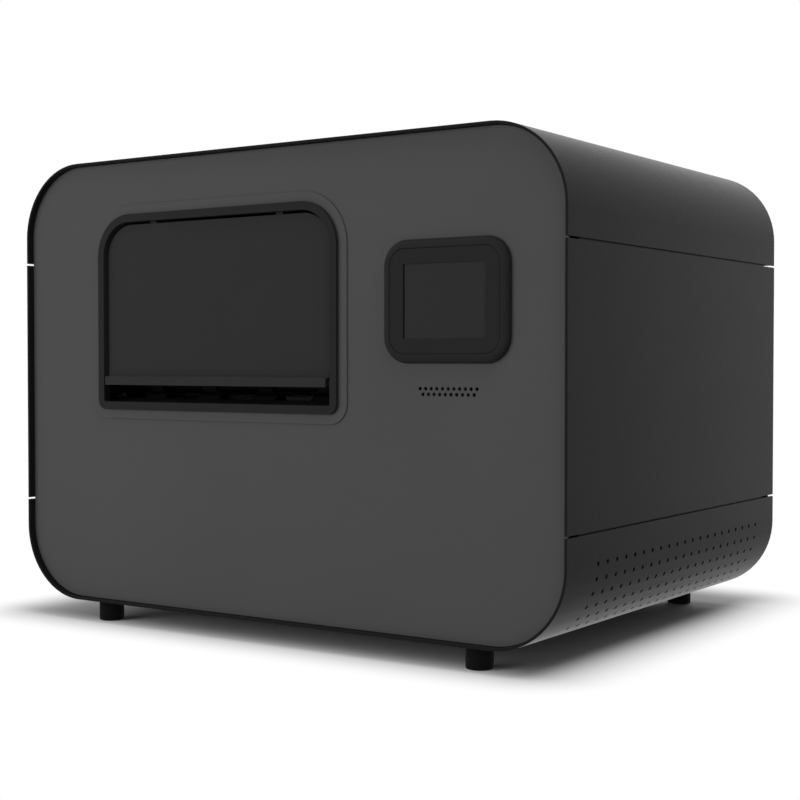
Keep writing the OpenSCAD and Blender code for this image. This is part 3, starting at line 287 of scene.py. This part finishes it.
EDGE_WIDTHS_MM = {
    0.2: "display_glass data_ports paper_guides control_board lower_tray",
    0.35: "pod_face front_panel rear_panel cover_rear_panel",
    0.5: "left_side_panel right_side_panel top_cover base_plate motor_brackets embossing_head "
         "power_inlet cover_hinge_base cover_hinge_leaf tractor_left_frame tractor_right_frame "
         "tractor_left_lid tractor_right_lid tractor_left_lever tractor_right_lever fan_rotor",
    0.7: "left_frame right_frame die_bar front_flap flap_ledge window_frame power_rocker fan_housing",
    1.0: "carriage stepper_motors power_supply",
    1.6: "rubber_feet",
}
for width, nodes in EDGE_WIDTHS_MM.items():
    for node in nodes.split():
        soften(node, width * MM, 2)


# ---------------------------------------------------------------- building pieces
def piece(name, bm, material, body):
    """One object from a bmesh whose points are in millimetres of the row frame."""
    bmesh.ops.recalc_face_normals(bm, faces=bm.faces)
    bmesh.ops.scale(bm, vec=(MM, MM, MM), verts=bm.verts)
    mesh = bpy.data.meshes.new(name)
    bm.to_mesh(mesh)
    bm.free()
    mesh.materials.append(MATERIAL[material])
    obj = bpy.data.objects.new(name, mesh)
    scene.collection.objects.link(obj)
    mesh.shade_smooth()
    mesh.set_sharp_from_angle(angle=math.radians(35))
    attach(obj, body)
    return obj


def standing(place, axis):
    """Turns and moves what stands on the origin along Z so that it stands on place along axis."""
    spin = Vector((0, 0, 1)).rotation_difference(Vector(axis)).to_matrix().to_4x4()
    return Matrix.Translation(Vector(place)) @ spin


def turned(bm, profile, place, axis, steps=20):
    """A turned shape: profile is (radius, height) pairs, set on place with its heights along axis."""
    at = standing(place, axis)
    rings = []
    for r, h in profile:
        if r == 0:
            rings.append([bm.verts.new(at @ Vector((0, 0, h)))])
            continue
        rings.append([bm.verts.new(at @ Vector((r * math.cos(math.tau * k / steps),
                                                 r * math.sin(math.tau * k / steps), h)))
                      for k in range(steps)])
    for low, high in zip(rings, rings[1:]):
        for k in range(steps):
            quad = [low[k % len(low)], low[(k + 1) % len(low)], high[(k + 1) % len(high)], high[k % len(high)]]
            bm.faces.new(list(dict.fromkeys(quad)))
    for ring in (rings[0], rings[-1]):
        if len(ring) > 1:
            bm.faces.new(ring)


def brick(bm, low, high, edge=0.3):
    """A block with bevelled edges between two corners."""
    made = bmesh.ops.create_cube(bm, size=1.0)["verts"]
    for v in made:
        v.co = Vector([a if c < 0 else b for a, b, c in zip(low, high, v.co)])
    edges = list({e for v in made for e in v.link_edges})
    bmesh.ops.bevel(bm, geom=edges, offset=edge, segments=2, profile=0.5, affect="EDGES")


def screw_head(bm, place, axis, d):
    """A button head with a cross recess."""
    r = d / 2
    rise = 0.3 * d
    dome = [(0.0, 0.62), (0.3, 0.6), (0.34, 0.94), (0.5, 0.88), (0.8, 0.58), (1.0, 0.12), (1.0, 0.0)]
    turned(bm, [(r * a, rise * b) for a, b in reversed(dome)], place, axis)
    at = standing(place, axis)
    for turn in (0.0, math.pi / 2):
        half = Matrix.Rotation(turn, 4, "Z")
        corners = [(-0.42 * r, -0.07 * r), (0.42 * r, -0.07 * r), (0.42 * r, 0.07 * r), (-0.42 * r, 0.07 * r)]
        low = [bm.verts.new(at @ half @ Vector((x, y, 0.5 * rise))) for x, y in corners]
        top = [bm.verts.new(at @ half @ Vector((x, y, 0.7 * rise))) for x, y in corners]
        bm.faces.new(low)
        bm.faces.new(top)
        for k in range(4):
            bm.faces.new((low[k], low[(k + 1) % 4], top[(k + 1) % 4], top[k]))


def screws(name, places, axis, d, body, material="plated_steel"):
    bm = bmesh.new()
    for place in places:
        screw_head(bm, place, axis, d)
    return piece(name, bm, material, body)


def mm_box(node):
    """A CAD node's two corners at rest, in millimetres."""
    low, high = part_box(node)
    return [c / MM for c in low], [c / MM for c in high]


# ---------------------------------------------------------------- foam under the cover
def foam_pad():
    """Egg-crate foam: flat where it is glued to the cover, with rows of soft humps towards the mechanism."""
    low, high = mm_box("acoustic_foam")
    pitch = 25.0
    per_hump = 8
    nx = round((high[0] - low[0]) / pitch) * per_hump
    ny = round((high[1] - low[1]) / pitch) * per_hump
    depth = high[2] - low[2]
    bm = bmesh.new()
    rows = []
    for j in range(ny + 1):
        row = []
        for i in range(nx + 1):
            u, v = i / nx, j / ny
            x = low[0] + u * (high[0] - low[0])
            y = low[1] + v * (high[1] - low[1])
            across = math.sin(math.pi * (x - low[0]) / pitch)
            along = math.sin(math.pi * (y - low[1]) / pitch)
            wave = 0.5 + 0.5 * across * along
            skirt = min(1.0, min(u * nx, (1 - u) * nx, v * ny, (1 - v) * ny) / 3)
            z = high[2] - depth * (0.38 + 0.6 * wave * skirt)
            row.append(bm.verts.new((x, y, z)))
        rows.append(row)
    for a, b in zip(rows, rows[1:]):
        for i in range(nx):
            bm.faces.new((a[i], a[i + 1], b[i + 1], b[i]))
    rim = rows[0][:] + [r[-1] for r in rows[1:]] + rows[-1][-2::-1] + [r[0] for r in rows[-2:0:-1]]
    up = [bm.verts.new((v.co.x, v.co.y, high[2])) for v in rim]
    for k in range(len(rim)):
        n = (k + 1) % len(rim)
        bm.faces.new((rim[k], rim[n], up[n], up[k]))
    bm.faces.new(up)
    pad = piece("foam_pad", bm, "foam", "top_cover")
    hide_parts("acoustic_foam")


foam_pad()

# ---------------------------------------------------------------- fasteners
# Places inside a node's box, in mm: half a hinge's length, its screws from its edge and its rear face
HINGE_WING, HINGE_EDGE, HINGE_FACE = 31.0, 9.5, 276.5
# Half the spacing of a motor's holes, the faces that carry the carriage motor's and the carriage's screws, and
# the control board's top face
MOTOR_HOLES, DRIVE_FACE, CARRIAGE_TOP, BOARD_TOP = 23.4, -96.0, 379.0, 43.1
_, panel_high = mm_box("rear_panel")
back = panel_high[1]
edge_x = panel_high[0] - 13
screws("rear_panel_screws",
       [(side * edge_x, back, z) for side in (-1, 1) for z in (150, 285, 420)]
       + [(x, back, 43) for x in (-270, -90, 90, 270)]
       + [(x, back, 424) for x in (-120, 120)], (0, 1, 0), 8.0, "casing", "motor_black")
screws("cover_rear_screws",
       [(side * edge_x, back, 462) for side in (-1, 1)] + [(x, back, 541) for x in (-240, 0, 240)],
       (0, 1, 0), 8.0, "top_cover", "motor_black")

for node, body in (("cover_hinge_base", "casing"), ("cover_hinge_leaf", "top_cover")):
    low, high = mm_box(node)
    reach = high[0] - HINGE_WING
    z = low[2] + HINGE_EDGE if body == "casing" else high[2] - HINGE_EDGE
    screws(f"{node}_screws",
           [(side * reach + step, HINGE_FACE, z) for side in (-1, 1) for step in (-20, 0, 20)],
           (0, 1, 0), 6.4, body)

fan_low, fan_high = mm_box("fan_housing")
screws("fan_screws", [(x, back, z) for x in (fan_low[0] + 8, fan_high[0] - 8)
                      for z in (fan_low[2] + 8, fan_high[2] - 8)], (0, 1, 0), 7.0, "casing", "motor_black")

plate_low, plate_high = mm_box("data_ports")
screws("plate_screws", [(x, plate_high[1] - 0.6, z) for x in (plate_low[0] + 5, plate_high[0] - 5)
                        for z in (plate_low[2] + 5, plate_high[2] - 5)], (0, 1, 0), 5.5, "casing")
inlet_low, inlet_high = mm_box("power_inlet")
inlet_z = (inlet_low[2] + inlet_high[2]) / 2
screws("inlet_screws", [(x, inlet_high[1], inlet_z) for x in (inlet_low[0] + 3.4, inlet_high[0] - 3.4)],
       (0, 1, 0), 4.6, "casing")

drive_low, drive_high = mm_box("drive_pulley")
drive_x, drive_z = (drive_low[0] + drive_high[0]) / 2, (drive_low[2] + drive_high[2]) / 2
screws("carriage_motor_screws", [(drive_x + sx * MOTOR_HOLES, DRIVE_FACE, drive_z + sz * MOTOR_HOLES)
                                 for sx in (-1, 1) for sz in (-1, 1)], (0, -1, 0), 5.5, "casing")
pinion_low, pinion_high = mm_box("feed_pinion")
pinion_y, pinion_z = (pinion_low[1] + pinion_high[1]) / 2, (pinion_low[2] + pinion_high[2]) / 2
screws("feed_motor_screws", [(pinion_high[0] + 1.9, pinion_y + sy * MOTOR_HOLES, pinion_z + sz * MOTOR_HOLES)
                             for sy in (-1, 1) for sz in (-1, 1)], (-1, 0, 0), 5.5, "casing")

board_low, _ = mm_box("control_board")
screws("board_screws", [(x, y, BOARD_TOP) for x in (board_low[0] + 7, board_low[0] + 128)
                        for y in (board_low[1] + 7, board_low[1] + 173)], (0, 0, 1), 6.0, "casing")

car_low, car_high = mm_box("carriage")
screws("carriage_screws", [(x, y, CARRIAGE_TOP) for x in (car_low[0] + 8, car_high[0] - 8)
                           for y in (car_low[1] + 8, car_high[1] - 8)], (0, 0, 1), 7.0, "carriage")


# ---------------------------------------------------------------- parts on the control board
def board_parts():
    """Small parts on the board: resistors, driver chips with legs, capacitor tops, plugs and a heat sink."""
    x0, y0 = board_low[0], board_low[1]
    dark = bmesh.new()
    metal = bmesh.new()
    for row in range(4):
        for k in range(9):
            x = x0 + 20 + k * 11.5 + 2.5 * (row % 2)
            y = y0 + 88 + row * 8
            brick(dark, (x, y, BOARD_TOP), (x + 3.2, y + 1.6, BOARD_TOP + 0.7), 0.1)
            for end in (x - 0.5, x + 3.0):
                brick(metal, (end, y, BOARD_TOP), (end + 0.7, y + 1.6, BOARD_TOP + 0.75), 0.1)
    for k in range(4):
        x, y = x0 + 18 + k * 27, y0 + 16
        brick(dark, (x, y, BOARD_TOP + 0.3), (x + 18, y + 8, BOARD_TOP + 2.6), 0.25)
        for leg in range(7):
            for side in (y - 1.8, y + 8):
                at = x + 1.4 + leg * 2.4
                brick(metal, (at, side, BOARD_TOP), (at + 0.8, side + 1.8, BOARD_TOP + 1.2), 0.1)
    piece("board_chips", dark, "motor_black", "casing")
    for k in range(5):
        place = (x0 + 20 + k * 22, y0 + 130, 55.5)
        turned(metal, [(4.9, -0.6), (4.9, 0.1), (4.4, 0.5), (3.2, 0.35), (0.0, 0.3)], place, (0, 0, 1), 24)
    piece("board_leads", metal, "plated_steel", "casing")
    plugs = bmesh.new()
    for k in range(5):
        x = x0 + 15 + k * 22
        brick(plugs, (x + 1, y0 + 161, 52.4), (x + 15, y0 + 171, 54.6), 0.4)
    piece("board_plugs", plugs, "white_plastic", "casing")
    sink = bmesh.new()
    brick(sink, (x0 + 100, y0 + 42, BOARD_TOP), (x0 + 126, y0 + 72, BOARD_TOP + 2.5), 0.3)
    for k in range(8):
        x = x0 + 100.6 + k * 3.4
        brick(sink, (x, y0 + 42, BOARD_TOP + 2), (x + 1.2, y0 + 72, BOARD_TOP + 12), 0.25)
    piece("board_heat_sink", sink, "motor_black", "casing")


def supply_terminals():
    """Barrier strip on the supply's case, with a screw in each field."""
    low, high = mm_box("power_supply")
    strip = bmesh.new()
    y0, top = low[1] + 1.0, high[2]
    brick(strip, (low[0] + 8, y0, top), (high[0] - 8, y0 + 9, top + 3), 0.4)
    for k in range(10):
        x = low[0] + 8 + k * (high[0] - low[0] - 17.5) / 9
        brick(strip, (x, y0, top + 2.5), (x + 1.5, y0 + 9, top + 9), 0.3)
    piece("supply_strip", strip, "motor_black", "casing")
    width = (high[0] - low[0] - 17.5) / 9
    screws("supply_screws", [(low[0] + 8.75 + (k + 0.5) * width, y0 + 4.5, top + 3) for k in range(9)],
           (0, 0, 1), 6.0, "casing")


board_parts()
supply_terminals()

# ---------------------------------------------------------------- floor and light
AMBIENT = 0.25
world = bpy.data.worlds.new("studio")
scene.world = world
wt = Tree(world, "ShaderNodeOutputWorld")
rays = wt.node("ShaderNodeLightPath").outputs
seen = wt.maths("MAXIMUM", rays["Is Camera Ray"], rays["Is Transmission Ray"])
seen = wt.maths("MAXIMUM", seen, rays["Is Glossy Ray"])
wt.show(seen, wt.glow("ShaderNodeBackground", AMBIENT), wt.glow("ShaderNodeBackground", 1.0))

floor_mesh = bpy.data.meshes.new("floor")
bm = bmesh.new()
STEPS = 96
inner = None
for r in (0.5, 1.0, 2.0, 6.0, 20.0):
    turns = [math.tau * i / STEPS for i in range(STEPS)]
    ring = [bm.verts.new((r * math.cos(a), r * math.sin(a), 0.0)) for a in turns]
    if inner is None:
        bm.faces.new(ring)
    else:
        for i in range(STEPS):
            n = (i + 1) % STEPS
            bm.faces.new((inner[i], ring[i], ring[n], inner[n]))
    inner = ring
bm.to_mesh(floor_mesh)
bm.free()
floor = bpy.data.objects.new("floor", floor_mesh)
scene.collection.objects.link(floor)
floor.location.z = -0.0004

# The floor keeps the shadow near the body and is plain white further out. SHADE is the middle and half size of
# the shaded patch along X and Y, in metres, and it fades out over FADE.
SHADE_X, SHADE_Y, FADE = (-0.03, 0.34), (0.045, 0.28), 0.12
floor_paper = bpy.data.materials.new("floor_paper")
floor_mesh.materials.append(floor_paper)
ft = Tree(floor_paper)
diffuse = ft.node("ShaderNodeBsdfDiffuse")
tone = ft.mix(ft.span(ft.noise(3.0), 0.3, 0.7, 0.0, 1.0), (0.71, 0.71, 0.71), (0.74, 0.74, 0.74))
ft.link(tone, diffuse.inputs[0])
split = ft.node("ShaderNodeSeparateXYZ")
ft.link(ft.place(), split.inputs[0])
squares = []
for axis, (middle, half) in (("X", SHADE_X), ("Y", SHADE_Y)):
    beyond = ft.maths("ABSOLUTE", ft.maths("SUBTRACT", split.outputs[axis], middle))
    beyond = ft.maths("MAXIMUM", ft.maths("SUBTRACT", beyond, half), 0.0)
    squares.append(ft.maths("MULTIPLY", beyond, beyond))
away = ft.maths("SQRT", ft.maths("ADD", *squares))
far = ft.span(away, 0.0, FADE, 0.0, 1.0, smooth=True)
path = ft.node("ShaderNodeLightPath").outputs
# What gloss and glass see of it is a painted reflection: the floor glows bright under the body's rim, dimmer
# beside it and bright again far out, so that the casing's lower curve shows a bright reflection where the floor
# beneath is in shadow
level = ft.maths("ADD", ft.span(away, 0.0, 0.15, 0.8, 0.55, smooth=True),
                 ft.span(away, 0.4, 1.5, 0.0, 0.35, smooth=True))
mirrored = ft.maths("MULTIPLY", ft.maths("MAXIMUM", path["Is Glossy Ray"], path["Is Transmission Ray"]), level)
white = ft.maths("MAXIMUM", ft.maths("MULTIPLY", far, path["Is Camera Ray"]), mirrored)
ft.show(white, diffuse.outputs[0], ft.glow("ShaderNodeEmission", 1.0))


def lamp(name, place, aim, size, power, mirrored=False):
    """A soft rectangular lamp. Gloss sees it only where it is mirrored."""
    data = bpy.data.lights.new(name, "AREA")
    data.shape = "RECTANGLE"
    data.size, data.size_y = size
    data.energy = power
    obj = bpy.data.objects.new(name, data)
    obj.location = place
    obj.rotation_euler = (Vector(aim) - Vector(place)).to_track_quat("-Z", "Y").to_euler()
    obj.visible_glossy = mirrored
    scene.collection.objects.link(obj)


lamp("key", (-1.6, -3.2, 1.0), (0, 0, 0.3), (2.4, 1.6), 54)
lamp("fill", (0.0, -3.2, 0.5), (0, 0, 0.2), (1.6, 0.8), 3, mirrored=True)
lamp("top_right", (1.4, -0.7, 2.6), (0, 0, 0.2), (1.4, 1.4), 30)
lamp("overhead", (-0.2, 0.6, 2.9), (0, 0.1, 0.3), (2.0, 2.0), 9)
lamp("behind", (-0.5, 3.2, 1.3), (0, 0, 0.3), (2.2, 1.4), 34)
